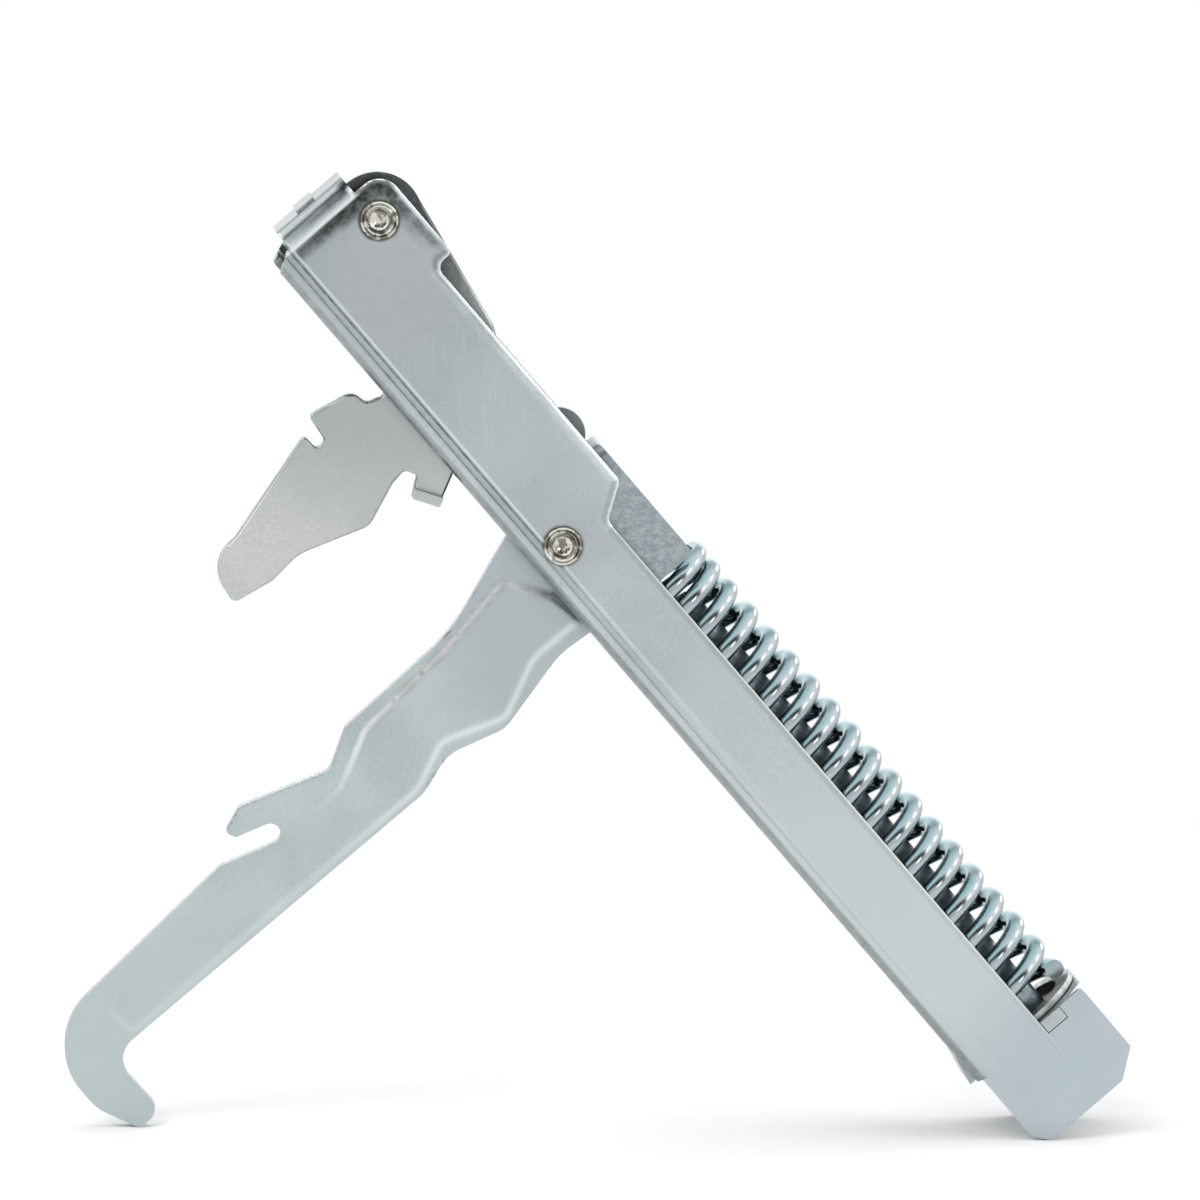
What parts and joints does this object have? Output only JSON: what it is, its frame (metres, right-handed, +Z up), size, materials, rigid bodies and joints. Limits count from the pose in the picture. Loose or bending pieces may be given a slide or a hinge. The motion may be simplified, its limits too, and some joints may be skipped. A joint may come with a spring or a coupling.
{
  "type": "oven door hinge",
  "caption": "Oven door hinge: a pressed channel with a hooked arm on a pivot rivet, a hand lever with a catch, and a coil spring that a slider pushes along a guide rod.",
  "frame": {"origin": "middle of the base, where the toe of the hook and the channel's foot stand", "axes": "+X runs level from the hook side to the channel's spring end, +Y through the hinge away from the viewer, +Z up"},
  "size_m": [0.188, 0.0272, 0.1695],
  "materials": {
    "channel_sheet": "bright zinc plate with cloudy mottling",
    "arm_plate": "bright zinc plate, smooth",
    "lever_plate": "bright zinc plate, coined lower edge",
    "slider_sheet": "dull mottled steel",
    "spring_wire": "glossy oiled spring wire",
    "rod_steel": "plain drawn steel",
    "rivet_steel": "warm nickel plate"
  },
  "bodies": {
    "channel_body": {"channel": "channel_sheet", "spring": "spring_wire", "spring_seat": "channel_sheet", "guide_rod": "rod_steel", "main_rivet": "rivet_steel", "stay_rivet": "rivet_steel", "main_spacers": "rivet_steel", "stay_spacers": "rivet_steel"},
    "arm_body": {"hook_arm": "arm_plate"},
    "lever_body": {"stay_lever": "lever_plate"},
    "slider_body": {"slider": "slider_sheet"}
  },
  "joints": [
    {"name": "door_pivot", "type": "hinge", "parent": "channel_body", "child": "arm_body", "pos_m": [-0.00817, 0, 0.10507], "axis": [0, 1, 0], "range_deg": [0, 87], "stiffness_Nm_per_rad": 5.3, "springref_deg": -21.6},
    {"name": "stay_pivot", "type": "hinge", "parent": "channel_body", "child": "lever_body", "pos_m": [-0.04095, 0, 0.16148], "axis": [0, 1, 0], "range_deg": [-4, 45]},
    {"name": "slider_slide", "type": "slide", "parent": "channel_body", "child": "slider_body", "axis": [0.6612, 0, -0.7502], "range_m": [0, 0.0257], "deforming": ["spring"]}
  ],
  "couplings": [
    {"joint": "slider_slide", "follows": "door_pivot", "m_per_rad": 0.0168}
  ]
}
